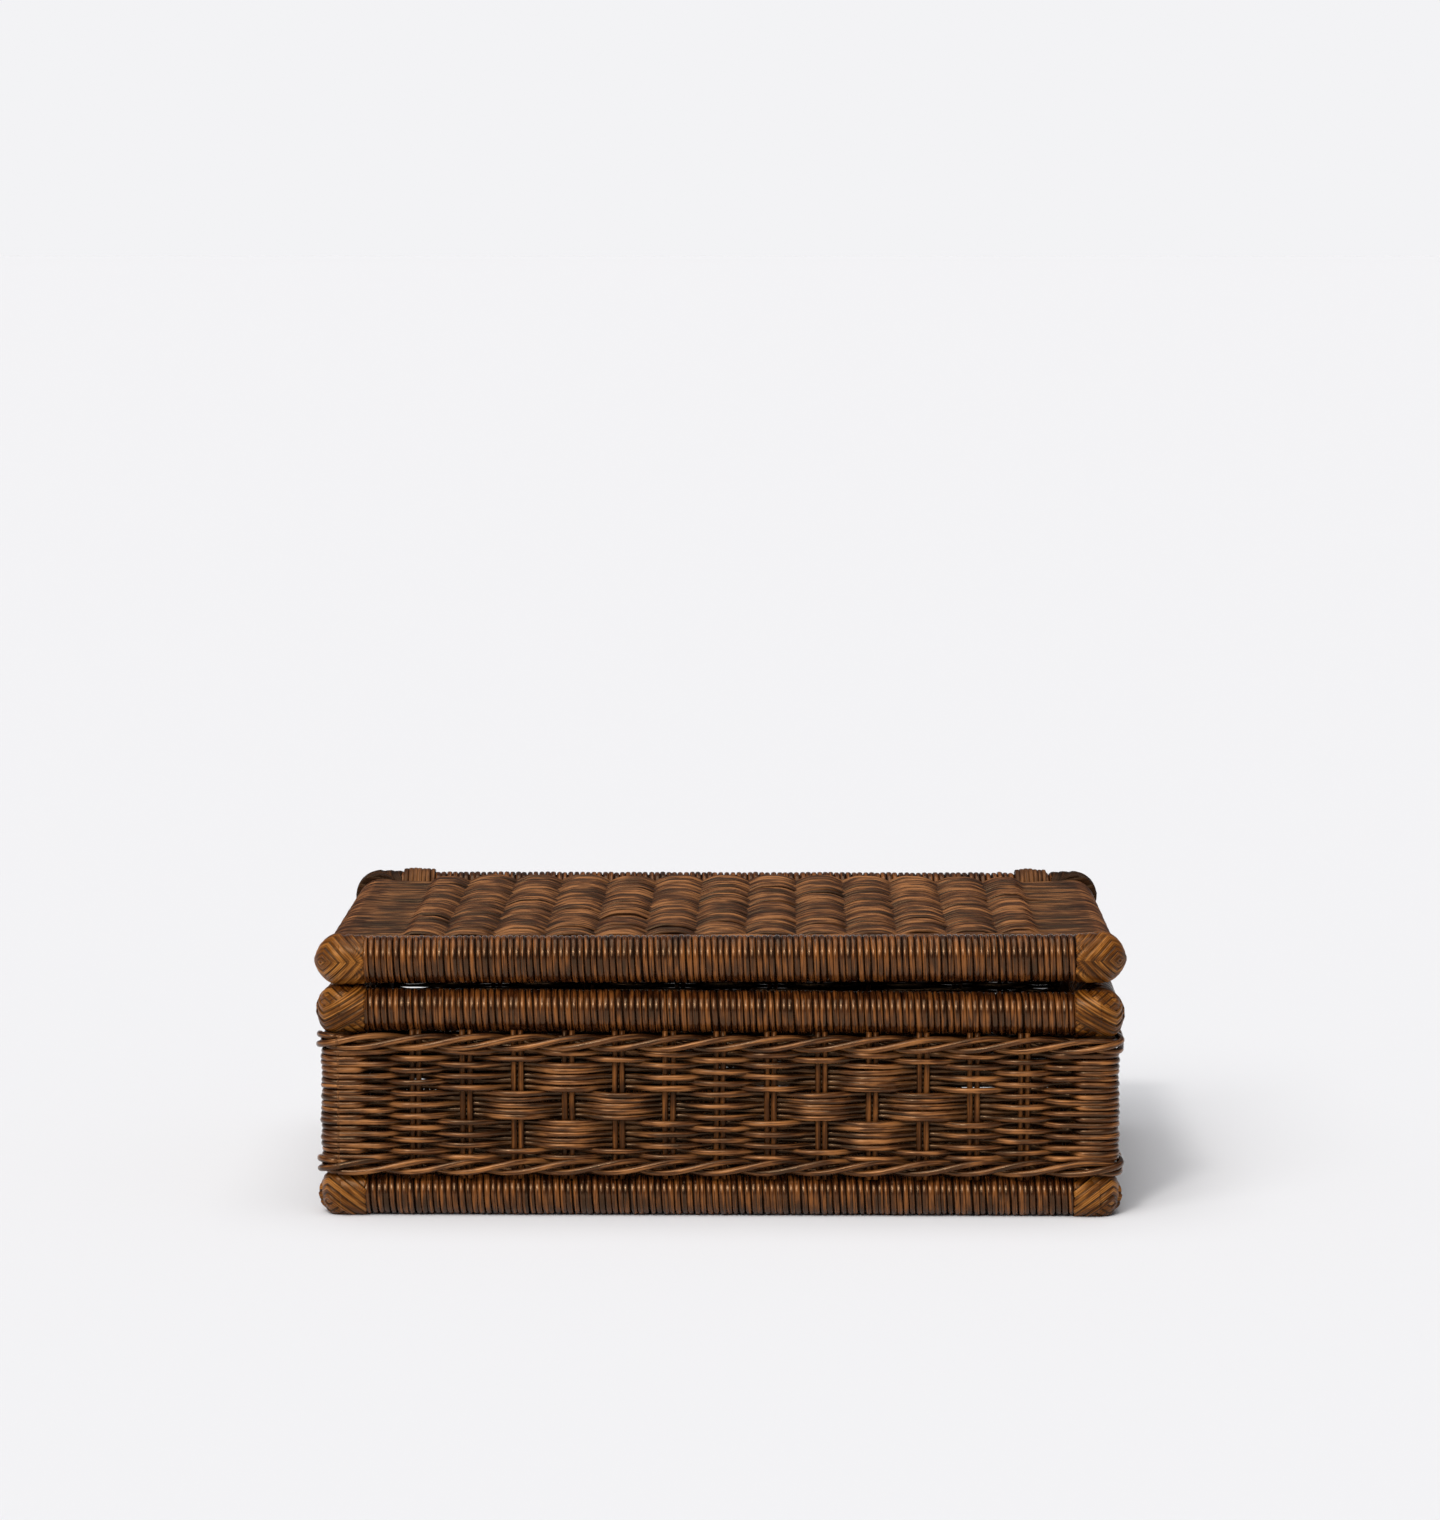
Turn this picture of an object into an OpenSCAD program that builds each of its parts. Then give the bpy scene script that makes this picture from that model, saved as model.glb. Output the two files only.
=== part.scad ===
// Rattan hamper with a hinged lid.
// Three rectangular pole frames (base, rim and lid) are bound with cane and covered at
// their corners. A woven wall on upright stakes joins the base frame to the rim frame,
// and the lid's panel is woven over ribs. Two cane lashings hold the lid's back rail to
// the rim's back rail, and the lid turns in them.
// The front faces -Y, +X is to the right, and the box stands on the ground at z = 0.

/* [Box] */
// Width of the box over the lid's corner wraps
box_w = 460; // [440:2:500]
// Depth of the box over the lid's corner wraps
box_d = 322; // [300:2:360]
// Height of the rim frame's centre line above the ground
rim_h = 117.6; // [100:0.2:140]
// Rise from the rim frame's centre line to the lid frame's
lid_rise = 28.4; // [28.2:0.1:30]

/* [Rails] */
// Radius of a bound rail of the base frame
base_rail_r = 12.1; // [11.6:0.1:12.3]
// Radius of a bound rail of the rim frame
rim_rail_r = 12.5; // [12:0.1:12.6]
// Radius of a bound rail of the lid frame
lid_rail_r = 13.6; // [13:0.1:13.7]
// Thickness of the cane that binds the rails
cane_t = 1.6; // [1.2:0.1:2]
// Depth by which the base rails are flattened where they stand
foot_flat = 0.5; // [0.3:0.1:0.8]

/* [Corners] */
// Radius of a woven corner wrap of the base frame
base_wrap_r = 12.8; // [12.7:0.1:13]
// Radius of a woven corner wrap of the rim frame
rim_wrap_r = 13.6; // [13.3:0.1:13.6]
// Radius of a woven corner wrap of the lid frame
lid_wrap_r = 14; // [14:0.1:14.2]
// Length of a corner wrap along the front or back rail
long_wrap_len = 13.8; // [13.7:0.1:14.5]
// Length of a corner wrap along a side rail
side_wrap_len = 14.5; // [14.5:0.5:16]
// Radius of an upright corner post
post_r = 8; // [7:0.5:8.5]

/* [Weave] */
// Diameter of a weaving strand
strand_d = 3.4; // [3:0.1:3.6]
// Diameter of one rod of a stake or rib
rod_d = 3.4; // [3:0.1:3.6]
// Distance between the two rods of a stake or rib
rod_gap = 0.6; // [0.4:0.1:1]
// Spacing of the stakes in the walls and of the ribs in the panels
stake_pitch = 28.8; // [26:0.2:29]
// Number of stakes in the front or back wall, and of ribs in a panel
long_stakes = 13; // [11:2:13]
// Number of stakes in a side wall
side_stakes = 9; // [5:2:9]
// Height of the twisted band at the wall's foot and at its top
wale_h = 9.2; // [8:0.2:10]
// How far a twisted band stands out from the centre line of its rail
wale_out = 14.2; // [14:0.1:14.6]
// Height of the lid's weave above the tops of the lid's rails
lid_crest = 0.3; // [0:0.1:0.6]

/* [Hinge] */
// Distance of a hinge lashing's middle from the middle of the box
lashing_x = 190; // [188:1:191]
// Number of cane turns in a lashing
lashing_turns = 5; // [3:1:5]
// Width of one cane turn
lashing_w = 3.2; // [2.8:0.1:3.4]
// Slack between the lashing and the lid's back rail, which turns in it
lashing_slack = 0.3; // [0.25:0.05:0.4]

/* [Nails] */
// Length of a corner nail
nail_len = 36; // [30:1:40]
// Diameter of a corner nail's shank
nail_d = 2.2; // [1.8:0.1:2.6]

/* [Hidden] */
$fn = 96;
ARC_STEPS = 12; // steps in a quarter turn of a drawn outline
ease = 0.15; // slack left where one piece is shaped round another
cope_step = 0.3; // a side pole is thinner than the pole that it butts on
pole_end = 5.5; // a long pole runs this far past the side pole's centre line
skin_step = 0.3; // a wrap's arm is thinner than its ball
ball_flat = 0.2; // a wrap's ball is pressed flat by this much at its top and bottom
head_t = 0.9; // thickness of a nail's head
head_d = 4.6; // diameter of a nail's head

line_x = box_w / 2 - lid_wrap_r; // side rails' centre lines, either side of the middle
line_y = box_d / 2 - lid_wrap_r; // front and back rails' centre lines
base_h = base_rail_r - foot_flat;
lid_h = rim_h + lid_rise;
lid_edge_r = lid_rail_r - cane_t + strand_d; // side rail under the lid's strands
half_weave = rod_d / 2 + strand_d; // a rod with a strand on one side of it
wall_out = post_r + strand_d; // outer face of the wall from the rails' centre lines
stake_out = wall_out - half_weave;
wall_in = stake_out - half_weave;
lower_wale_z = base_h + base_wrap_r + ease;
upper_wale_z = rim_h - rim_rail_r - cane_t - 2 * ease - wale_h; // clear of the lashings
rib_h = lid_h + lid_rail_r + lid_crest - half_weave;
lashing_pitch = lashing_w + 0.3;
hinge_room = lid_rail_r + lashing_slack + cane_t + 0.4; // clear of the turns as the lid swings

FRAMES = ["base", "rim", "lid"];
SIDES = ["front", "back", "left", "right"];
CORNERS = ["front_left", "front_right", "back_left", "back_right"];

function frame_h(f) = f == "base" ? base_h : f == "rim" ? rim_h : lid_h;
function rail_r(f) = f == "base" ? base_rail_r : f == "rim" ? rim_rail_r : lid_rail_r;
function wrap_r(f) = f == "base" ? base_wrap_r : f == "rim" ? rim_wrap_r : lid_wrap_r;
function pole_r(f) = rail_r(f) - cane_t;
function is_long(s) = s == "front" || s == "back";
function run(s) = is_long(s) ? line_x : line_y; // half the length of a side's centre line
function turn(s) = s == "front" ? 0 : s == "right" ? 90 : s == "back" ? 180 : 270;
function stakes_in(s) = is_long(s) ? long_stakes : side_stakes;
function right_of(c) = c == "front_right" || c == "back_right" ? 1 : -1;
function back_of(c) = c == "back_left" || c == "back_right" ? 1 : -1;

// Points of an arc about (x, y)
function arc(x, y, r, from, to, steps) =
    [for (i = [0:steps]) let (a = from + i * (to - from) / steps) [x + r * cos(a), y + r * sin(a)]];

// Outline of a band drawn tight round two circles, one above the other
function belt(r_low, r_high, rise) =
    let (lean = asin((r_high - r_low) / rise), steps = 2 * ARC_STEPS)
    concat(
        arc(0, rise, r_high, -lean, 180 + lean, steps),
        arc(0, 0, r_low, 180 + lean, 360 - lean, steps)
    );

// Middles of the rods of a row of stakes or ribs, measured from the row's middle
function rods(count) =
    [for (i = [1:count], j = [-1, 1])
        (i - (count + 1) / 2) * stake_pitch + j * (rod_d + rod_gap) / 2];

module rod_x(length, r) {
    rotate([0, 90, 0])
    cylinder(h = length, r = r, center = true);
}

module rod_y(length, r) {
    rotate([90, 0, 0])
    cylinder(h = length, r = r, center = true);
}

// Puts a piece drawn along X, with its outside towards -Y, on one side's centre line
module on_side(s) {
    rotate([0, 0, turn(s)])
    translate([0, is_long(s) ? -line_y : -line_x, 0])
    children();
}

module on_corner(c) {
    translate([right_of(c) * line_x, back_of(c) * line_y, 0])
    children();
}

module on_corners() {
    for (c = CORNERS) {
        on_corner(c) children();
    }
}

// Takes away what would lie below the ground
module on_ground() {
    difference() {
        children();
        translate([-box_w, -box_d, -box_d])
        cube([2 * box_w, 2 * box_d, box_d]);
    }
}

// Core pole of one side of a frame: long poles run through, side poles butt on them
module pole(f, s) {
    color([0.72, 0.56, 0.36])
    on_side(s)
    translate([0, 0, frame_h(f)])
    if (is_long(s)) {
        rod_x(2 * (run(s) + pole_end), pole_r(f));
    } else {
        difference() {
            rod_x(2 * run(s), pole_r(f) - cope_step);
            for (end = [-1, 1]) {
                translate([end * run(s), 0, 0])
                rod_y(4 * rail_r(f), pole_r(f) + ease);
            }
        }
    }
}

// Sleeve round a pole, from one corner wrap to the other
module sleeve(f, s, r, inset) {
    on_ground()
    on_side(s)
    translate([0, 0, frame_h(f)])
    difference() {
        rod_x(2 * (run(s) - inset), r);
        rod_x(2 * run(s), pole_r(f) + ease);
    }
}

// Cane bound edge to edge round a rail
module binding(f, s) {
    color([0.38, 0.22, 0.12])
    sleeve(f, s, rail_r(f), is_long(s) ? long_wrap_len : side_wrap_len);
}

// The lid's strands where they go over and round its side rails
module edge_strands(s) {
    color([0.43, 0.29, 0.19])
    sleeve("lid", s, lid_edge_r, side_wrap_len);
}

// Outer form of a corner wrap: a ball with an arm along each rail
module corner_form(f, c, grow) {
    ball_r = wrap_r(f) + grow;
    on_corner(c)
    translate([0, 0, frame_h(f)])
    union() {
        intersection() {
            rotate([0, 0, 90 + atan2(back_of(c), right_of(c))])
            sphere(r = ball_r);
            cube([3 * ball_r, 3 * ball_r, 2 * (ball_r - ball_flat)], center = true);
        }
        translate([-right_of(c) * long_wrap_len / 2, 0, 0])
        rod_x(long_wrap_len, ball_r - skin_step);
        translate([0, -back_of(c) * side_wrap_len / 2, 0])
        rod_y(side_wrap_len, ball_r - skin_step - 0.2);
    }
}

// Flat cane woven over the joint of two rails
module corner_wrap(f, c) {
    color([0.62, 0.42, 0.2])
    on_ground()
    difference() {
        corner_form(f, c, 0);
        translate([0, back_of(c) * line_y, frame_h(f)])
        rod_x(2 * (line_x + pole_end), pole_r(f) + ease);
        translate([right_of(c) * line_x, 0, frame_h(f)])
        rod_y(2 * line_y, pole_r(f) - cope_step + ease);
    }
}

// Nails through the long poles into the ends of the side poles, under the wraps
module corner_nails(f) {
    color("silver")
    for (c = CORNERS) {
        on_corner(c)
        translate([0, back_of(c) * (pole_r(f) - 0.5), frame_h(f)])
        rotate([90 * back_of(c), 0, 0])
        union() {
            cylinder(h = head_t, d = head_d);
            cylinder(h = nail_len, d = nail_d);
        }
    }
}

// Upright post between the base's and the rim's corner wraps
module corner_post(c) {
    color([0.4, 0.25, 0.14])
    difference() {
        on_corner(c)
        translate([0, 0, base_h])
        cylinder(h = rim_h - base_h, r = post_r);
        corner_form("base", c, ease);
        corner_form("rim", c, ease);
    }
}

// Pairs of upright rods from the base rail to the rim rail
module stakes(s) {
    color([0.46, 0.3, 0.17])
    on_side(s)
    difference() {
        for (x = rods(stakes_in(s))) {
            translate([x, -stake_out, base_h])
            cylinder(h = rim_h - base_h, d = rod_d);
        }
        translate([0, 0, base_h])
        rod_x(2 * run(s), base_rail_r + ease);
        translate([0, 0, rim_h])
        rod_x(2 * run(s), rim_rail_r + ease);
    }
}

// Weave of one wall between the two wales. The long walls' ends go round the posts.
module wall_weave(s) {
    end = run(s);
    long_outline = concat(
        arc(-end, 0, wall_out, 180, 270, ARC_STEPS),
        arc(end, 0, wall_out, 270, 360, ARC_STEPS),
        [[end, 0], [end, -wall_in], [-end, -wall_in], [-end, 0]]
    );
    side_outline = [[-end, -wall_out], [end, -wall_out], [end, -wall_in], [-end, -wall_in]];
    color([0.4, 0.24, 0.13])
    on_side(s)
    translate([0, 0, lower_wale_z + wale_h])
    linear_extrude(height = upper_wale_z - lower_wale_z - wale_h)
    difference() {
        polygon(is_long(s) ? long_outline : side_outline);
        for (e = [-end, end]) {
            translate([e, 0])
            circle(r = post_r + ease);
        }
    }
}

// Band of twisted rods that goes right round the wall, outside the posts
module wale(z) {
    outline = concat(
        arc(line_x, line_y, wale_out, 0, 90, ARC_STEPS),
        arc(-line_x, line_y, wale_out, 90, 180, ARC_STEPS),
        arc(-line_x, -line_y, wale_out, 180, 270, ARC_STEPS),
        arc(line_x, -line_y, wale_out, 270, 360, ARC_STEPS)
    );
    color([0.45, 0.28, 0.15])
    translate([0, 0, z])
    linear_extrude(height = wale_h)
    difference() {
        polygon(outline);
        square([2 * (line_x + wall_in), 2 * (line_y + wall_in)], center = true);
        on_corners() circle(r = post_r + ease);
    }
}

// Pairs of rods from the front rail to the back rail of a frame
module ribs(f, z) {
    color([0.46, 0.3, 0.17])
    difference() {
        for (x = rods(long_stakes)) {
            translate([x, 0, z])
            rod_y(2 * line_y, rod_d / 2);
        }
        for (y = [-line_y, line_y]) {
            translate([0, y, frame_h(f)])
            rod_x(2 * line_x, rail_r(f) + ease);
        }
    }
}

// Floor of the box, woven over its ribs and shaped to the base rails, clear of their wraps
module base_panel_weave() {
    color([0.4, 0.24, 0.13])
    translate([0, 0, base_h])
    difference() {
        cube([2 * line_x, 2 * line_y, 2 * half_weave], center = true);
        for (y = [-line_y, line_y]) {
            translate([0, y, 0])
            rod_x(3 * line_x, base_wrap_r + ease);
        }
        for (x = [-line_x, line_x]) {
            translate([x, 0, 0])
            rod_y(3 * line_y, base_wrap_r + ease);
        }
    }
}

// Top of the lid, woven over its ribs. Its back edge leaves room for the hinge lashings.
module lid_panel_weave() {
    front_y = -line_y + 10;
    back_y = line_y - hinge_room;
    color([0.47, 0.33, 0.23])
    difference() {
        translate([-line_x + 6, front_y, rib_h - half_weave])
        cube([2 * (line_x - 6), back_y - front_y, 2 * half_weave]);
        translate([0, -line_y, lid_h])
        rod_x(3 * line_x, lid_rail_r + ease);
        for (x = [-line_x, line_x]) {
            translate([x, 0, lid_h])
            rod_y(3 * line_y, lid_edge_r + ease);
        }
    }
}

// Cane turns tight round the rim's back rail and loose round the lid's back rail
module hinge_lashing(side) {
    low_r = rim_rail_r + ease;
    high_r = lid_rail_r + lashing_slack;
    color([0.5, 0.32, 0.16])
    for (i = [1:lashing_turns]) {
        translate([
            side * lashing_x + (i - (lashing_turns + 1) / 2) * lashing_pitch,
            line_y,
            rim_h
        ])
        rotate([90, 0, 90])
        linear_extrude(height = lashing_w, center = true)
        difference() {
            polygon(belt(low_r + cane_t, high_r + cane_t, lid_rise));
            polygon(belt(low_r, high_r, lid_rise));
        }
    }
}

for (f = FRAMES, s = SIDES) {
    pole(f, s);
}
for (f = ["base", "rim"], s = SIDES) {
    binding(f, s);
}
binding("lid", "front");  // lid_front_binding
binding("lid", "back");  // lid_back_binding
edge_strands("left");  // lid_left_edge_strands
edge_strands("right");  // lid_right_edge_strands
for (f = FRAMES, c = CORNERS) {
    corner_wrap(f, c);
}
for (f = FRAMES) {
    corner_nails(f);
}
for (c = CORNERS) {
    corner_post(c);
}
for (s = SIDES) {
    stakes(s);
    wall_weave(s);
}
wale(lower_wale_z);  // lower_wale
wale(upper_wale_z);  // upper_wale
ribs("base", base_h);  // base_panel_ribs
base_panel_weave();
ribs("lid", rib_h);  // lid_panel_ribs
lid_panel_weave();
hinge_lashing(-1);  // hinge_lashing_left
hinge_lashing(1);  // hinge_lashing_right
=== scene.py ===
"""A low rattan hamper with a lid: cane bound rails, plaited corners, woven walls and panels.
Each strand is drawn on its own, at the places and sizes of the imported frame's nodes."""

import math

import bpy
import numpy as np
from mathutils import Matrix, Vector


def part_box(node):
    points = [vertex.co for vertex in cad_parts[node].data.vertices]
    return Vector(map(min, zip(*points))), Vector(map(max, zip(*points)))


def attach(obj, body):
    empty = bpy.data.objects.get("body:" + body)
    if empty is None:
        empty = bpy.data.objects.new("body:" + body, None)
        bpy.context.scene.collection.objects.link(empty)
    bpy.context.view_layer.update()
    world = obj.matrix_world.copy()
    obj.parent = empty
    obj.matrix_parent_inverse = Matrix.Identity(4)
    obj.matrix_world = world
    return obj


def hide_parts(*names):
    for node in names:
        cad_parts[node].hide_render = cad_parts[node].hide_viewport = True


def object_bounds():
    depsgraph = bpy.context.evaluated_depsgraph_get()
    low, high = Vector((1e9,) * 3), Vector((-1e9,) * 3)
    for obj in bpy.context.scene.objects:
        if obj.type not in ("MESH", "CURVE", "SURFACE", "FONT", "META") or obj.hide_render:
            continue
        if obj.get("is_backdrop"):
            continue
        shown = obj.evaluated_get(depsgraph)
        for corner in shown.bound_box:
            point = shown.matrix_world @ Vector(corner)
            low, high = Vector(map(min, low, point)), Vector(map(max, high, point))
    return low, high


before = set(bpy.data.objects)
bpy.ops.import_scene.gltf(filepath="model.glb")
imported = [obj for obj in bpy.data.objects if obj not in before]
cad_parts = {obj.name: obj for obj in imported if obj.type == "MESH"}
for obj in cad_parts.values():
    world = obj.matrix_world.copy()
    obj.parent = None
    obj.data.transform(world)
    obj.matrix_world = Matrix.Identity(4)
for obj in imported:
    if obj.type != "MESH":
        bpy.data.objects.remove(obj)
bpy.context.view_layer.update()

MM = 0.001
TAU = 2 * math.pi
FRAMES = ("base", "rim", "lid")
SIDES = ("front", "right", "back", "left")
LONG_SIDES = ("front", "back")
CORNERS = {
    "front_left": (-1, -1),
    "front_right": (1, -1),
    "back_left": (-1, 1),
    "back_right": (1, 1),
}
BODY = {"base": "basket", "rim": "basket", "lid": "lid"}
SEED = 11
rng = np.random.default_rng(SEED)

# ---------------------------------------------------------------- places and sizes from the frame


def middle(node):
    low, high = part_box(node)
    return (low + high) / 2


def size(node):
    low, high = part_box(node)
    return high - low


line_x = middle("rim_right_pole").x
line_y = middle("rim_back_pole").y
frame_z = {f: middle(f + "_front_pole").z for f in FRAMES}
bound_r = {f: size(f + "_front_binding").y / 2 for f in FRAMES}
pole_r = {f: size(f + "_front_pole").y / 2 for f in FRAMES}
edge_r = size("lid_left_edge_strands").x / 2
strand_r = (edge_r - pole_r["lid"]) / 2
rod_r = size("front_stakes").y / 2
stake_out = abs(line_y + middle("front_stakes").y)
ROD_HALF_GAP = 2.0 * MM  # from a pair's middle to the middle of each of its rods
LONG_PAIRS = 13  # pairs of stakes in the front and back walls, and of ribs in each panel
SIDE_PAIRS = 9
pitch = (size("front_stakes").x - 2 * (ROD_HALF_GAP + rod_r)) / (LONG_PAIRS - 1)
rib_z = middle("lid_panel_ribs").z
base_rib_z = middle("base_panel_ribs").z
CANE_T = 1.6 * MM  # thickness of the cane round the rails
SLIM = 2.2 * MM  # the lid's side rails are this much slimmer than its front one, and lie lower
TUCKED = 1.6 * MM  # and further in


def run(side):
    """How far a side's rails run from their middle to the corner."""
    return line_x if side in LONG_SIDES else line_y


def away(side):
    """How far a side's rails are from the middle of the box."""
    return line_y if side in LONG_SIDES else line_x


def pair_count(side):
    return LONG_PAIRS if side in LONG_SIDES else SIDE_PAIRS


def pairs(side):
    """Where the middle of each pair of stakes is along a side."""
    count = pair_count(side)
    return (np.arange(count) - (count - 1) / 2) * pitch


def on_side(side, points, out):
    """Turns points drawn along X, with the outside towards -Y, to their side of the box."""
    moved = np.array(points, float)
    moved[..., 1] -= out
    for _ in range(SIDES.index(side)):
        moved = np.stack([-moved[..., 1], moved[..., 0], moved[..., 2]], -1)
    return moved


# ---------------------------------------------------------------- handmade unevenness


def wander(count, step, amount):
    """A smooth random walk about 0 that closes on itself."""
    knots = rng.normal(size=max(4, round(count / step)))
    at = np.arange(count) * len(knots) / count
    low = at.astype(int)
    ease = 0.5 - 0.5 * np.cos(math.pi * (at - low))
    here, there = knots[low % len(knots)], knots[(low + 1) % len(knots)]
    return amount * (here + (there - here) * ease)


def corner_share(v):
    """0 along the back and the left side, rising to 1 at the front right corner."""
    across = np.clip((v[:, 0] + line_x) / (2 * line_x), 0, 1)
    forward = np.clip((line_y - v[:, 1]) / (2 * line_y), 0, 1)
    return across * forward


RIM_DROP = 2.0 * MM
LID_RISE = 1.8 * MM


def settle(v):
    """The rim sits a little low at its front right corner."""
    v[:, 2] -= RIM_DROP * corner_share(v) * np.clip(v[:, 2] / frame_z["rim"], 0, 1)
    return v


def lift(v):
    """The lid is a little twisted, high at its front right corner."""
    v[:, 2] += LID_RISE * corner_share(v)
    return v


WARP = {"base": settle, "rim": settle, "lid": lift}

# ---------------------------------------------------------------- meshes


def round_section(radius, points, flat=1.0):
    """A round strand's outline, pressed flatter outwards by flat."""
    a = np.arange(points) * TAU / points
    return np.stack([radius * np.cos(a), radius * flat * np.sin(a)], -1)


def cane_section(width, thick, points=9):
    """Split cane: flat inside and rounded outside."""
    a = np.linspace(0, math.pi, points)
    top = np.stack([width / 2 * np.cos(a), thick * (np.sin(a) ** 0.6 - 0.5)], -1)
    return np.concatenate([top, [[0, -thick * 0.5]]])


def unit(v):
    return v / np.maximum(np.linalg.norm(v, axis=-1, keepdims=True), 1e-12)


GRAIN_APART = 1.37  # metres of grain between the start of one strand and the next


class Weave:
    """Collects strands into one mesh, with what its material needs to know of each point."""

    drawn = 0  # strands so far: each has its own stretch of the grain

    def __init__(self):
        self.verts, self.quads, self.tris = [], [], []
        self.fibre, self.tone, self.lit_amount = [], [], []
        self.count = 0

    def add(self, verts, quads, tris, fibre, tone, lit_amount):
        self.verts.append(verts)
        self.quads.append(np.asarray(quads, int).reshape(-1, 4) + self.count)
        self.tris.append(np.asarray(tris, int).reshape(-1, 3) + self.count)
        self.fibre.append(fibre)
        self.tone.append(np.broadcast_to(tone, len(verts)))
        self.lit_amount.append(np.broadcast_to(lit_amount, len(verts)))
        self.count += len(verts)

    def strand(self, path, out, section, swell=1.0, closed=False, tone=0.5, unshaded=1.0):
        """One strand along a path. tone and unshaded may differ from point to point; unshaded below
        1 darkens it as painted shade.
        """
        rings, sides = len(path), len(section)
        if closed:
            tangent = unit(np.roll(path, -1, 0) - np.roll(path, 1, 0))
        else:
            tangent = unit(np.gradient(path, axis=0))
        out = unit(out - tangent * np.sum(out * tangent, -1, keepdims=True))
        side = np.cross(tangent, out)
        swell = np.broadcast_to(swell, rings)[:, None, None]
        spread = section[None, :, :1] * side[:, None] + section[None, :, 1:] * out[:, None]
        verts = (path[:, None] + swell * spread).reshape(-1, 3)
        i = np.arange(rings if closed else rings - 1)[:, None]
        j = np.arange(sides)[None]
        nxt, turn = (i + 1) % rings, (j + 1) % sides
        quads = np.stack([i * sides + j, nxt * sides + j, nxt * sides + turn, i * sides + turn], -1)
        tris = []
        if not closed:
            k = np.arange(1, sides - 1)
            start = np.stack([0 * k, k, k + 1], -1)
            tris = np.concatenate([start, (rings - 1) * sides + start[:, [0, 2, 1]]])
        length = np.concatenate([[0], np.cumsum(np.linalg.norm(np.diff(path, axis=0), axis=1))])
        fibre = np.empty((rings, sides, 3))
        Weave.drawn += 1
        fibre[..., 0] = length[:, None] + GRAIN_APART * Weave.drawn
        fibre[..., 1:] = section[None]
        # Painted shade: lit_amount falls towards the strand's inner side and edges, and with
        # unshaded
        top = section[:, 1].max()
        proud = np.clip(0.5 + 0.5 * section[:, 1] / top, 0, 1)
        lit_amount = np.broadcast_to(unshaded, rings)[:, None] * proud[None]
        tones = np.broadcast_to(np.broadcast_to(tone, rings)[:, None], (rings, sides))
        self.add(verts, quads, tris, fibre.reshape(-1, 3), tones.ravel(), lit_amount.ravel())

    def make(self, name, body, material, nodes=(), warp=None):
        verts = np.concatenate(self.verts)
        if warp:
            verts = warp(verts)
        if body == "basket":
            verts[:, 2] = np.maximum(verts[:, 2], 0)
        quads, tris = np.concatenate(self.quads), np.concatenate(self.tris)
        mesh = bpy.data.meshes.new(name)
        mesh.vertices.add(len(verts))
        mesh.vertices.foreach_set("co", verts.astype(np.float32).ravel())
        mesh.loops.add(4 * len(quads) + 3 * len(tris))
        corners = np.concatenate([quads.ravel(), tris.ravel()]).astype(np.int32)
        mesh.loops.foreach_set("vertex_index", corners)
        mesh.polygons.add(len(quads) + len(tris))
        starts = np.concatenate([
            4 * np.arange(len(quads)),
            4 * len(quads) + 3 * np.arange(len(tris)),
        ])
        mesh.polygons.foreach_set("loop_start", starts.astype(np.int32))
        mesh.update(calc_edges=True)
        mesh.validate()
        mesh.shade_smooth()
        fibre = mesh.attributes.new("fibre", "FLOAT_VECTOR", "POINT")
        fibre.data.foreach_set("vector", np.concatenate(self.fibre).astype(np.float32).ravel())
        for key, value in (("tone", self.tone), ("lit_amount", self.lit_amount)):
            layer = mesh.attributes.new(key, "FLOAT", "POINT")
            layer.data.foreach_set("value", np.concatenate(value).astype(np.float32))
        piece = bpy.data.objects.new(name, mesh)
        bpy.context.scene.collection.objects.link(piece)
        mesh.materials.append(material)
        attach(piece, body)
        if nodes:
            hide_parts(*nodes)
        return piece


# ---------------------------------------------------------------- materials


def srgb(*colour):
    """A display colour, from 0 to 255, as linear light."""
    def linear(c):
        return c / 255 / 12.92 if c < 10 else ((c / 255 + 0.055) / 1.055) ** 2.4
    return (*map(linear, colour), 1)


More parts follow.
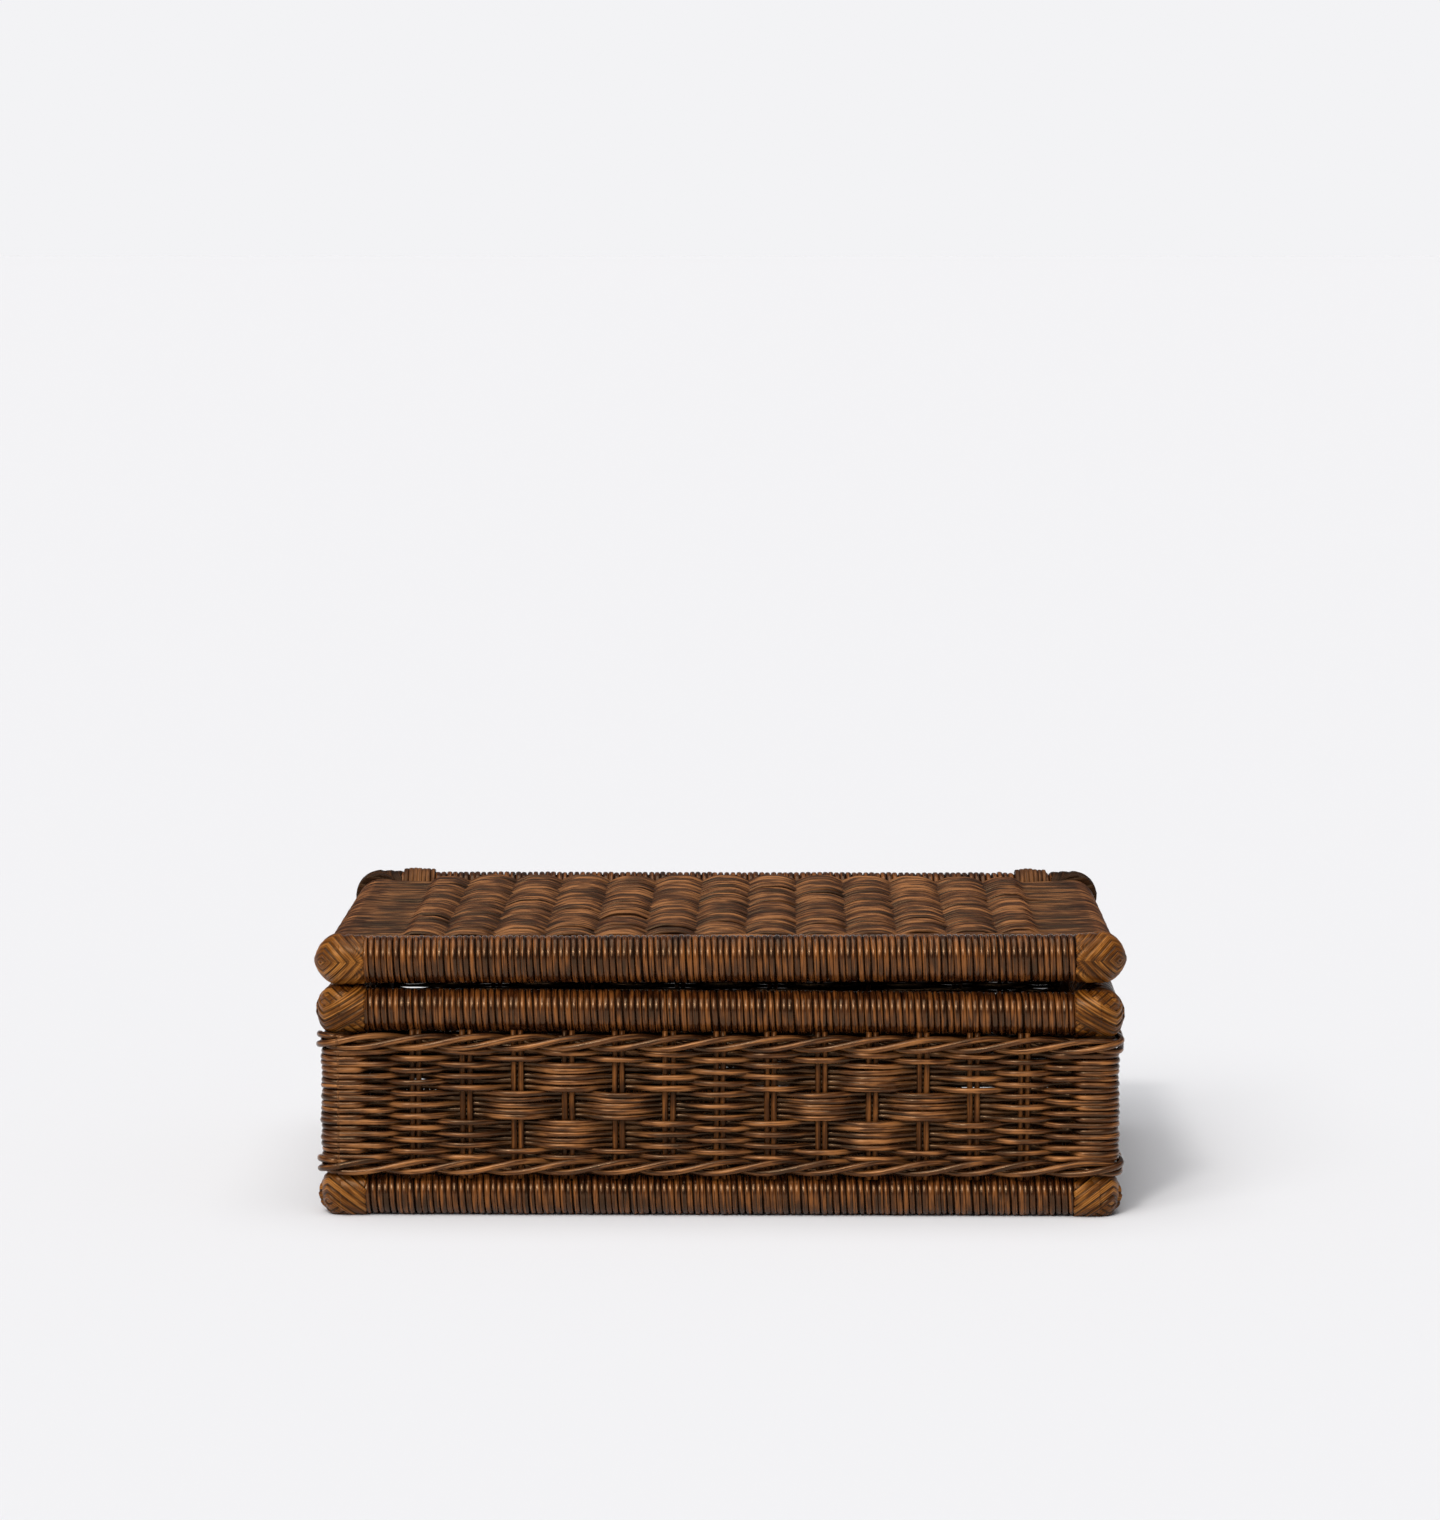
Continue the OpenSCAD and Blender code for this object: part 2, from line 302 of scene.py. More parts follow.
class Nodes:
    """A short hand for building a node tree."""

    def __init__(self, name):
        self.material = bpy.data.materials.new(name)
        self.material.use_nodes = True
        self.tree = self.material.node_tree
        self.shader = self.tree.nodes["Principled BSDF"]

    def add(self, kind, values=None, links=None, **settings):
        node = self.tree.nodes.new(kind)
        for key, value in settings.items():
            setattr(node, key, value)
        for key, value in (values or {}).items():
            node.inputs[key].default_value = value
        for key, source in (links or {}).items():
            self.tree.links.new(source, node.inputs[key])
        return node

    def scaled(self, vector, factors):
        node = self.add("ShaderNodeVectorMath", {1: factors}, {0: vector}, operation="MULTIPLY")
        return node.outputs[0]

    def noise(self, vector, detail=2.0, rough=0.55):
        return self.add("ShaderNodeTexNoise", {"Scale": 1.0, "Detail": detail, "Roughness": rough},
                        {"Vector": vector}).outputs["Fac"]

    def attribute(self, name, output="Fac"):
        return self.add("ShaderNodeAttribute", attribute_name=name).outputs[output]

    def feed(self, socket, value):
        """Sets a socket to a constant, or links it to another node's output."""
        if isinstance(value, (int, float, tuple)):
            socket.default_value = value
        else:
            self.tree.links.new(value, socket)

    def math(self, operation, *values):
        node = self.add("ShaderNodeMath", operation=operation)
        for socket, value in zip(node.inputs, values):
            self.feed(socket, value)
        return node.outputs[0]

    def ramp(self, source, *stops):
        """The stops for the ramp's two ends come first, then any between them."""
        node = self.add("ShaderNodeValToRGB", links={"Fac": source})
        elements = node.color_ramp.elements
        for i, (at, colour) in enumerate(stops):
            e = elements[i] if i < 2 else elements.new(at)
            e.position, e.color = at, colour
        return node.outputs["Color"]

    def mix(self, factor, a, b):
        node = self.add("ShaderNodeMix", data_type="RGBA")
        for index, value in ((0, factor), (6, a), (7, b)):  # the sockets of a colour mix
            self.feed(node.inputs[index], value)
        return node.outputs[2]

    def surface(self, colour, rough, height, bump, depth, constants):
        """Feeds the shader its colour, roughness and relief, and its constant values."""
        shaped = self.add("ShaderNodeBump", {"Strength": bump, "Distance": depth},
                          {"Height": height})
        inputs = {"Base Color": colour, "Roughness": rough, "Normal": shaped.outputs["Normal"]}
        for key, value in {**inputs, **constants}.items():
            self.feed(self.shader.inputs[key], value)
        return self.material


WARM = (1.0, 0.64, 0.38, 1.0)  # the lacquer's tint
# Near black: painted shade for the crevices at strands' edges and where they pass behind others
CREVICE_SHADE = srgb(8, 3, 1)
BLACK, GREY, WHITE = ((v, v, v, 1) for v in (0, 0.42, 1))
# How finely each kind of grain is drawn, along the cane and across it
STREAKS, BLOTCHES, PORES = (34.0, 1100.0), (60.0, 260.0), (220.0, 5200.0)
STAIN = (22.0, 22.0, 60.0)  # along X, Y and Z
WOOD_TONE = (40.0, 40.0, 40.0)


def rattan(name, dark, mid, light, rough, gloss, streak=1.5, spread=0.45, crevice_shade=CREVICE_SHADE,
           axis=None):
    """Stained and lacquered cane. Without an axis it follows the strands' own lengths;
    with one it is the wood of a CAD rod that lies along that axis. streak is how much the
    colour differs within a strand, and spread how much it differs between strands."""
    n = Nodes(name)
    place = n.add("ShaderNodeTexCoord").outputs["Object"]
    if axis is None:
        fibre, tone = n.attribute("fibre", "Vector"), n.attribute("tone")
    else:
        fibre, tone = place, n.noise(n.scaled(place, WOOD_TONE))

    def grain(scales, *settings):
        along, across = scales
        factors = tuple(along if i == (axis or 0) else across for i in range(3))
        return n.noise(n.scaled(fibre, factors), *settings)

    streaks, blotch, pore = grain(STREAKS, 3.0, 0.6), grain(BLOTCHES), grain(PORES, 2.0, 0.7)
    stain = n.noise(n.scaled(place, STAIN), 3.0)
    shade = 0.5
    for source, amount in ((streaks, streak), (blotch, 0.8 * streak), (tone, spread), (stain, 0.6)):
        shade = n.math("MULTIPLY_ADD", n.math("SUBTRACT", source, 0.5), amount, shade)
    colour = n.ramp(shade, (0.08, dark), (0.92, light), (0.5, mid))
    # Painted shade: the colour goes towards crevice_shade where lit_amount is low
    if axis is None:
        painted_light_mask = n.ramp(n.attribute("lit_amount"), (0.05, BLACK), (0.92, WHITE), (0.5, GREY))
        colour = n.mix(painted_light_mask, crevice_shade, colour)
    dull = n.math("MULTIPLY_ADD", blotch, 0.2, rough - 0.2)
    relief = n.math("ADD", n.math("MULTIPLY", streaks, 0.7), n.math("MULTIPLY", pore, 0.3))
    return n.surface(colour, n.math("MULTIPLY_ADD", streaks, 0.22, dull), relief, 0.5, 0.3 * MM,
                     {"Specular IOR Level": gloss, "Specular Tint": WARM})


def steel(name):
    """Bright nail wire with rust spots."""
    n = Nodes(name)
    place = n.add("ShaderNodeTexCoord").outputs["Object"]
    scratch = n.noise(n.scaled(place, (900.0, 120.0, 900.0)), 3.0, 0.6)
    rust = n.noise(n.scaled(place, (260.0, 260.0, 260.0)), 3.0)
    colour = n.ramp(rust, (0.45, srgb(150, 146, 140)), (0.75, srgb(96, 66, 46)))
    return n.surface(colour, n.math("MULTIPLY_ADD", scratch, 0.4, 0.2), scratch, 0.2, 0.1 * MM,
                     {"Metallic": 1.0})


binding_cane = rattan("binding_cane", srgb(28, 11, 4), srgb(62, 31, 12), srgb(120, 71, 31),
                      rough=0.22, gloss=0.65, streak=2.4)
corner_cane = rattan("corner_cane", srgb(62, 30, 7), srgb(122, 69, 19), srgb(184, 120, 52),
                     rough=0.3, gloss=0.35, streak=2.0, spread=0.8)
# A darker copy of corner_cane: painted shade for the lid's back corners
shaded_corner_cane = rattan("shaded_corner_cane", srgb(20, 10, 4), srgb(44, 23, 10),
                            srgb(84, 50, 25), rough=0.42, gloss=0.2)
wall_cane = rattan("wall_cane", srgb(32, 15, 6), srgb(81, 45, 21), srgb(152, 99, 54),
                   rough=0.25, gloss=0.55, streak=2.2)
wale_cane = rattan("wale_cane", srgb(32, 15, 6), srgb(74, 40, 18), srgb(142, 92, 49),
                   rough=0.25, gloss=0.55, streak=2.2)
# crevice_shade here is a browner painted shade for the lid's crevices
lid_cane = rattan("lid_cane", srgb(34, 17, 9), srgb(77, 44, 25), srgb(150, 100, 61),
                  rough=0.34, gloss=0.3, streak=2.4, spread=0.55, crevice_shade=srgb(8, 4, 2))
stake_cane = rattan("stake_cane", srgb(34, 15, 4), srgb(70, 37, 12), srgb(120, 73, 33),
                    rough=0.34, gloss=0.3, streak=2.0)
lashing_cane = rattan("lashing_cane", srgb(36, 19, 9), srgb(76, 45, 23), srgb(122, 80, 46),
                      rough=0.42, gloss=0.3)
# Near black: the rods show only in the grooves between strands, and this colour is painted shade
rail_wood = rattan("rail_wood", srgb(12, 5, 2), srgb(20, 9, 4), srgb(34, 17, 8),
                   rough=0.6, gloss=0.1)
# Darker than the stakes: painted shade for the posts set back in the corners
post_wood = rattan("post_wood", srgb(24, 12, 6), srgb(44, 24, 12), srgb(72, 44, 24),
                   rough=0.5, gloss=0.15, axis=2)
nail_steel = steel("nail_steel")

# The corner posts and the nails are the CAD's own
for name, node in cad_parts.items():
    if name.startswith("corner_post") or name.endswith("_nails"):
        node.data.materials.clear()
        node.data.materials.append(nail_steel if name.endswith("_nails") else post_wood)

# ---------------------------------------------------------------- cane round the rails

TURN_STEPS = 32  # points in one turn of cane
CANE_W = 3.62 * MM
TUCK = 1.5 * MM  # cane that runs on under the corner wraps


def binding(f, side):
    """The cane wound round a rail, in one length from corner to corner."""
    node = f"{f}_{side}_binding"
    half = max(size(node).x, size(node).y) / 2 + TUCK
    turns = round(2 * half / CANE_W)
    steps = turns * TURN_STEPS + 1
    turn = np.arange(steps) / TURN_STEPS
    angle = TAU * turn + rng.uniform(0, TAU)
    x = -half + 2 * half * turn / turns + wander(steps, TURN_STEPS, 0.26 * MM)
    r = bound_r[f] - CANE_T / 2 - 0.1 * MM + wander(steps, TURN_STEPS * 0.8, 0.15 * MM)
    path = np.stack([x, r * np.cos(angle), frame_z[f] + r * np.sin(angle)], -1)
    out = np.stack([0 * x, np.cos(angle), np.sin(angle)], -1)
    cane = Weave()
    cane.strand(
        on_side(side, path, away(side)),
        on_side(side, out, 0),
        cane_section(0.95 * CANE_W, CANE_T),
        swell=1 + wander(steps, TURN_STEPS, 0.05),
        tone=np.clip(0.5 + wander(steps, TURN_STEPS * 0.6, 0.24), 0, 1),
    )
    cane.make(f"{f}_{side}_cane", BODY[f], binding_cane, [node], warp=WARP[f])


SHORT = 5 * MM  # the rods end this far inside the corner wraps


def pole(f, side):
    """The rail's own rod, which shows in the grooves of its cane."""
    node = f"{f}_{side}_pole"
    half = max(size(node).x, size(node).y) / 2 - SHORT
    rings = 40
    x = np.linspace(-half, half, rings)
    path = np.stack([x, wander(rings, 9, 0.05 * MM), frame_z[f] + wander(rings, 9, 0.05 * MM)], -1)
    up = np.broadcast_to([0.0, 0.0, 1.0], path.shape)
    across = away(side)
    radius = size(node).z / 2 - 0.25 * MM
    if f == "lid" and side not in LONG_SIDES:
        path[:, 2] -= SLIM
        radius, across = radius - SLIM, across - TUCKED
    wood = Weave()
    wood.strand(on_side(side, path, across), up, round_section(radius, 32),
                swell=1 + wander(rings, 12, 0.004))
    wood.lit_amount = [np.ones(wood.count)]  # no painted groove shade along a whole rod
    wood.make(f"{f}_{side}_rail", BODY[f], rail_wood, [node], warp=WARP[f])


for f in FRAMES:
    for side in SIDES:
        pole(f, side)
        if f != "lid" or side in LONG_SIDES:
            binding(f, side)

# ---------------------------------------------------------------- plaited corners

CAP_AROUND = 192
CAP_RINGS = 112
CAP_TONES = 100
CAP_BLUNT = {"lid": 1.75, "rim": 2.7, "base": 3.6}  # below 2 a wrap is pointed, above 2 boxy
CAP_SLIM = {"lid": 0.0, "rim": 1.6 * MM, "base": 2.4 * MM}
BASE_DRAWN_IN = 0.18  # how much the base's wraps narrow underneath
RIDGE = 1.25 * MM  # between the fine ridges along a strip
LAPPED = 0.45 * MM  # a strip's rise where it lies over the strips that cross it
LID_STRIPS = np.array([2.6, 3.4, 4.4, 5.4, 6, 6, 6, 6, 6, 6]) * MM  # widths, from the tip inwards


def strips(q, first, widths):
    """For a point at q, counted across a row of strips from first on: the strip it is in,
    how far across it is from -1 to 1, and the strip's width."""
    edges = first + np.concatenate([[0], np.cumsum(widths)])
    index = np.clip(np.searchsorted(edges, q, side="right") - 1, 0, len(widths) - 1)
    width = np.asarray(widths)[index]
    return index, np.clip(2 * (q - edges[index]) / width - 1, -1, 1), width


def plait(f, u, v, z, r):
    """Relief, number, length and lit amount of the cane at a point of a corner wrap. u and v run
    inwards along the two rails from the corner, and z up. The lit amount is painted shade,
    darker at the strips' edges and between their ridges."""
    w = np.maximum(u, v) + 0.15 * np.minimum(u, v)
    if f == "lid":
        slope = 1.1
        q = np.abs(z) + slope * w
        lay = slope * np.abs(z) - w
        index, x, width = strips(q, -slope * 0.82 * r, LID_STRIPS)
        index = 2 * index + (z > 0)
        level = np.where(index % 4 < 2, 0.2 * MM, 0)
    elif f == "rim":
        q = z - 0.6 * w
        main = np.abs(q + 0.05 * r) < 0.66 * r
        cross = z + 0.8 * w
        cross = cross + 0.3 * MM
        index, x, width = strips(np.where(main, q, cross), -3 * r, np.full(30, 4.4 * MM))
        lay = np.where(main, z * 0.6 + w, z * 0.8 - w)
        index = index + 40 * main
        level = np.where(main, LAPPED, 0)
    else:
        q = z + 0.75 * w
        main = q > -0.62 * r
        cross = z - 0.7 * w
        index, x, width = strips(np.where(main, q, cross), -3 * r, np.full(30, 4.6 * MM))
        lay = np.where(main, z * 0.75 - w, z * 0.7 + w)
        index = index + 40 * main
        level = np.where(main, LAPPED, 0)
    edge = 1 - np.abs(x) ** 5
    ridges = np.cos(math.pi * x * np.maximum(1, np.round(width / RIDGE)))
    relief = level + 0.8 * MM * edge + 0.3 * MM * x * edge + 0.13 * MM * ridges * edge
    # The last value is painted shade: darker at the strips' edges and between their ridges
    return relief, index, lay, q, np.clip(edge * (0.66 + 0.34 * ridges), 0, 1)


def corner(f, name):
    """A corner wrap: a ball with an arm along each of its two rails, covered in plait."""
    sx, sy = CORNERS[name]
    node = f"{f}_corner_wrap_{name}"
    low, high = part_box(node)
    centre = np.array([sx * line_x, sy * line_y, frame_z[f]])
    r = (high.x - centre[0] if sx > 0 else centre[0] - low.x) - 0.5 * MM
    arm_x = centre[0] - low.x if sx > 0 else high.x - centre[0]
    arm_y = centre[1] - low.y if sy > 0 else high.y - centre[1]
    around = np.arange(CAP_AROUND) * TAU / CAP_AROUND
    rise = (np.arange(1, CAP_RINGS) / CAP_RINGS - 0.5) * math.pi
    rise, around = np.meshgrid(rise, around, indexing="ij")
    d = np.stack([np.cos(rise) * np.cos(around), np.cos(rise) * np.sin(around), np.sin(rise)], -1)
    d = np.concatenate([d.reshape(-1, 3), [[0, 0, -1], [0, 0, 1]]])
    du, dv, dz = -sx * d[:, 0], -sy * d[:, 1], d[:, 2]
    blunt, slim = CAP_BLUNT[f], CAP_SLIM[f]
    flat = np.hypot(du, dv)
    reach = r / ((flat * r / (r - slim)) ** blunt + np.abs(dz) ** blunt) ** (1 / blunt)
    if f == "base":
        reach = reach * (1 - BASE_DRAWN_IN * np.clip(-dz, 0, 1) * flat)
    for along, across, arm, thin in ((du, dv, arm_x, 0.3), (dv, du, arm_y, 0.5)):
        wall = (r - thin * MM) / np.maximum(np.hypot(across, dz), 1e-6)
        end = np.where(along > 1e-6, arm / np.maximum(along, 1e-6), 0)
        reach = np.maximum(reach, np.minimum(wall, end))
    relief, index, lay, q, lit_amount = plait(f, du * reach, dv * reach, dz * reach, r)
    tones = np.clip(0.5 + 0.15 * rng.normal(size=CAP_TONES), 0, 1)
    rings = CAP_RINGS - 1
    i, j = np.arange(rings - 1)[:, None], np.arange(CAP_AROUND)[None]
    turn = (j + 1) % CAP_AROUND
    quads = np.stack([i * CAP_AROUND + j, i * CAP_AROUND + turn,
                      (i + 1) * CAP_AROUND + turn, (i + 1) * CAP_AROUND + j], -1)
    j, turn = j.ravel(), turn.ravel()
    bottom, top, last = len(d) - 2, len(d) - 1, (rings - 1) * CAP_AROUND
    tris = np.concatenate([
        np.stack([turn, j, np.full_like(j, bottom)], -1),
        np.stack([last + j, last + turn, np.full_like(j, top)], -1),
    ])
    cap = Weave()
    cap.add(centre + d * (reach + relief)[:, None], quads, tris,
            np.stack([lay + GRAIN_APART * index, q, 0 * q], -1), tones[index % CAP_TONES], lit_amount)
    # The lid's back corners get the darker copy, as painted shade
    finish = shaded_corner_cane if f == "lid" and sy > 0 else corner_cane
    cap.make(f"{f}_{name}_plait", BODY[f], finish, [node], warp=WARP[f])


for f in FRAMES:
    for name in CORNERS:
        corner(f, name)

# ---------------------------------------------------------------- the line round the wall

STEP = pitch / 16
CORNER_STEPS = 12
CORNER_R = 10.5 * MM  # the curve that the rows' lengths are counted along, round a post
LOOSE_AT = 0.45  # a strand dips inwards this far along from a post to the first pair


def wall_line():
    """Points right round the box on the rails' centre lines, with the way out at each, its
    distance round, and where each wall's posts and pairs are on it."""
    places, outs, marks = [], [], []
    start = 0.0
    arc = CORNER_R * math.pi / 2
    for k, side in enumerate(SIDES):
        half = run(side)
        x = np.linspace(-half, half, round(2 * half / STEP) + 1)
        places.append(on_side(side, np.stack([x, 0 * x, 0 * x], -1), away(side)))
        outs.append(np.broadcast_to(on_side(side, [[0.0, -1.0, 0.0]], 0), (len(x), 3)))
        marks.append((side, start + half, start, start + 2 * half))
        a = (k * 90 - 90 + 90 * (np.arange(1, CORNER_STEPS) / CORNER_STEPS)) * math.pi / 180
        outs.append(np.stack([np.cos(a), np.sin(a), 0 * a], -1))
        places.append(np.broadcast_to(places[-1][-1], (len(a), 3)))
        start += 2 * half + arc
    distance, at = [], 0.0
    for k, side in enumerate(SIDES):
        n = len(places[2 * k])
        distance.append(at + np.linspace(0, 2 * run(side), n))
        at += 2 * run(side)
        distance.append(at + arc * np.arange(1, CORNER_STEPS) / CORNER_STEPS)
        at += arc
    return np.concatenate(places), np.concatenate(outs), np.concatenate(distance), marks, at


line_points, line_outs, line_at, line_marks, line_length = wall_line()
weave_low, weave_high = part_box("front_wall_weave")[0].z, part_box("front_wall_weave")[1].z
ROWS = 19
OUT, IN = stake_out + rod_r + strand_r, stake_out - rod_r - strand_r
GAP_AT = -line_x + 36 * MM  # the back wall is loosely packed from its left corner to here
LOOSE_ROWS = range(3, 8)
PACKED = 0.38  # how much thicker the back wall's rows are drawn
HOLD = 3.4 * MM  # a strand lies flat on a pair for this far either side of its middle
DIP_HOLD = 1.5 * MM  # and level in the dip beside a post for this far
BEFORE_POST, AFTER_POST = 10 * MM, 26 * MM  # it lies outside a post from here to here


def in_front(side, row, pair):
    """True where a row passes outside a pair. Blocks of five rows make the pattern."""
    long = side in LONG_SIDES
    over = (4, 10) if long else (3, 7)
    beside = (3, 5, 9, 11) if long else (2, 4, 6, 8)
    apart = (2, 4, 6, 8, 10, 12) if long else (3, 5, 7)
    if row in range(3, 8) or row in range(13, 18):
        if pair in over:
            return True
        if pair in beside:
            return False
    elif row in range(8, 13):
        if pair in beside:
            return True
        if pair in apart:
            return False
    if pair in (0, pair_count(side) + 1):
        return row % 2 == 1
    return (row + pair) % 2 == 1


def row_offsets(row):
    """How far out a row lies, all the way round."""
    knots, values = [], []
    for side, centre, start, end in line_marks:
        at = centre + pairs(side)
        first = start + (at[0] - start) * LOOSE_AT
        last = end - (end - at[-1]) * LOOSE_AT
        states = [in_front(side, row, p) for p in range(0, len(at) + 2)]
        for where, front in zip([first, *at, last], states):
            hold = HOLD if where in at else DIP_HOLD
            knots += [where - hold, where + hold]
            values += [front, front]
        knots += [end - BEFORE_POST, end + AFTER_POST]
        values += [True, True]
    knots, values = np.array(knots), np.array(values, float)
    knots = np.concatenate([knots[-2:] - line_length, knots, knots[:2] + line_length])
    values = np.concatenate([values[-2:], values, values[:2]])
    i = np.clip(np.searchsorted(knots, line_at, side="right") - 1, 0, len(knots) - 2)
    t = np.clip((line_at - knots[i]) / (knots[i + 1] - knots[i]), 0, 1)
    share = values[i] + (values[i + 1] - values[i]) * (0.5 - 0.5 * np.cos(math.pi * t))
    return IN + (OUT - IN) * share, share


def wall_row(weave, row):
    """One row of weaving, counted from the top, right round the box."""
    offset, share = row_offsets(row)
    count = len(line_at)
    spacing = (weave_high - weave_low - 0.2 * MM) / (ROWS - 1)
    z = weave_high + 0.1 * MM - (row - 1) * spacing
    z = z + wander(count, 18, 0.26 * MM) + wander(count, 8, 0.06 * MM)
    offset = offset + wander(count, 16, 0.24 * MM)
    path = line_points + line_outs * offset[:, None]
    path[:, 2] = z
    packed = PACKED * np.clip(line_outs[:, 1], 0, 1)
    if row in LOOSE_ROWS:
        packed = packed * np.clip((line_points[:, 0] - GAP_AT) / (4 * MM), 0, 1)
    # unshaded follows share: painted shade where the row passes inside the stakes
    weave.strand(path, line_outs, round_section(1.035 * strand_r, 8, 0.93), closed=True,
                 swell=1 + packed + wander(count, 14, 0.06),
                 tone=np.clip(0.5 + wander(count, 22, 0.26), 0, 1), unshaded=0.3 + 0.7 * share)


WALL_NODES = [side + "_wall_weave" for side in SIDES]
for row in range(1, ROWS + 1):
    weave = Weave()
    wall_row(weave, row)
    weave.make(f"wall_row_{row:02d}", "basket", wall_cane,
               WALL_NODES if row == 1 else (), warp=settle)

# Strands inside the stakes, over and under the rows, all round from the back left corner to
# where the loose part of the back wall starts
packing = Weave()
left_start = line_marks[SIDES.index("left")][2]
loose = (line_points[:, 1] > 0) & (line_points[:, 0] < GAP_AT)
kept = np.concatenate([
    np.flatnonzero(line_at >= left_start),
    np.flatnonzero((line_at < left_start) & ~loose),
])
above = [weave_high + level * MM for level in (3.1, 5.8, 8.4)]
below = [weave_low - level * MM for level in (3.1, 5.6, 8.2)]
count = len(kept)
for z in above + below:
    offset = IN - 0.2 * MM + wander(count, 26, 0.1 * MM)
    path = line_points[kept] + line_outs[kept] * offset[:, None]
    path[:, 2] = z + wander(count, 30, 0.12 * MM)
    # unshaded=0.6: painted shade on the strands inside the stakes
    packing.strand(path, line_outs[kept], round_section(strand_r, 8),
                   swell=1 + wander(count, 40, 0.03),
                   tone=np.clip(0.4 + wander(count, 40, 0.2), 0, 1), unshaded=0.6)
packing.make("wall_packing", "basket", wall_cane, warp=settle)

# ---------------------------------------------------------------- twisted bands


def wale_steps():
    """Counts the stakes passed round the box, with three counts to each corner."""
    knots, counts, count = [], [], 0
    for side, centre, _, _ in line_marks:
        at = centre + pairs(side)
        knots += list(at)
        counts += list(count + np.arange(len(at)))
        count += len(at) + 2
    knots = [knots[-1] - line_length, *knots, knots[0] + line_length]
    counts = [counts[-1] - count, *counts, count]
    return np.interp(line_at, knots, counts), count


def wale(name, rise):
    """Three rods twisted round each other, outside two stakes and inside the third. They lie
    straighter on the posts."""
    low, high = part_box(name)
    steps, total = wale_steps()
    angle = np.concatenate([(steps + total * loop) * TAU / 3 for loop in range(3)]) + math.pi
    points, outs = np.tile(line_points, (3, 1)), np.tile(line_outs, (3, 1))
    straight = 1 - np.clip(np.abs(np.sum(np.abs(line_outs[:, :2]), 1) - 1) / 0.2, 0, 1)
    for _, _, *ends in line_marks:
        for end in ends:
            past_post = (np.abs(line_at - end) - 4 * MM) / (24 * MM)
            straight = np.minimum(straight, np.clip(past_post, 0, 1))
    on_wall_share = np.tile(straight, 3)
    outer = high.x - line_x - strand_r
    bulge = 0.9 * MM  # the twist is fuller on the outside
    on_wall = (outer + IN) / 2 + bulge + (outer - IN) / 2 * np.cos(angle)
    on_wall = on_wall - bulge * np.cos(2 * angle)
    on_post = outer - 1.5 * MM + 1.5 * MM * np.cos(angle)
    offset = on_post + (on_wall - on_post) * on_wall_share + wander(len(angle), 40, 0.15 * MM)
    path = points + outs * offset[:, None]
    swing = (high.z - low.z) / 2 - strand_r + 0.4 * MM
    height = (low.z + high.z) / 2 + rise
    path[:, 2] = height + swing * np.sin(angle) + wander(len(angle), 30, 0.12 * MM)
    share = np.clip((offset - IN) / (outer - IN), 0, 1)
    packed = np.clip(outs[:, 1], 0, 1)
    path[:, 2] += 0.5 * MM * packed * np.sign(rise)
    band = Weave()
    # unshaded follows share: painted shade where a rod passes inside the stakes
    band.strand(path, outs, round_section(1.1 * strand_r, 10), closed=True,
                swell=1 + 0.15 * packed + wander(len(angle), 50, 0.04),
                tone=np.clip(0.5 + wander(len(angle), 60, 0.24), 0, 1), unshaded=0.4 + 0.6 * share)
    band.make(name + "_rods", "basket", wale_cane, [name], warp=settle)


wale("lower_wale", -0.3 * MM)
wale("upper_wale", 1.7 * MM)  # pushed up under the rim's rail

# ---------------------------------------------------------------- stakes and ribs


def rod(weave, start, end):
    rings = 16
    t = np.linspace(0, 1, rings)[:, None]
    path = np.asarray(start) * (1 - t) + np.asarray(end) * t
    axis = unit(np.asarray(end, float) - start)
    out = np.array([0.0, -1.0, 0.0]) if abs(axis[2]) > 0.5 else np.array([0.0, 0.0, 1.0])
    side = np.cross(axis, out)
    path = path + side * wander(rings, 5, 0.1 * MM)[:, None]
    path = path + out * wander(rings, 5, 0.06 * MM)[:, None]
    # unshaded=0.9: painted shade, darkest on the rod's inner side
    weave.strand(path, np.broadcast_to(out, (rings, 3)), round_section(0.98 * rod_r, 10),
                 swell=1 + wander(rings, 6, 0.02), tone=np.clip(rng.normal(0.5, 0.17), 0, 1),
                 unshaded=0.9)


ROD_TIP = 0.6 * MM  # the rods stop this far inside the node's ends

for side in SIDES:
    node = side + "_stakes"
    low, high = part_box(node)
    stakes = Weave()
    for x in pairs(side):
        for shift in (-ROD_HALF_GAP, ROD_HALF_GAP):
            at = x + shift + rng.normal(0, 0.15 * MM)
            ends = [[at, -stake_out, z] for z in (low.z + ROD_TIP, high.z - ROD_TIP)]
            rod(stakes, *on_side(side, ends, away(side)))
    stakes.make(side + "_stake_rods", "basket", stake_cane, [node], warp=settle)

for f, z in (("base", base_rib_z), ("lid", rib_z)):
    node = f + "_panel_ribs"
    low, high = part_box(node)
    ribs = Weave()
    for x in pairs("front"):
        for shift in (-ROD_HALF_GAP, ROD_HALF_GAP):
            at = x + shift + rng.normal(0, 0.12 * MM)
            rod(ribs, (at, low.y + ROD_TIP, z), (at, high.y - ROD_TIP, z))
    ribs.make(f + "_rib_rods", BODY[f], stake_cane, [node],
              warp=lift if f == "lid" else None)

# ---------------------------------------------------------------- woven panels


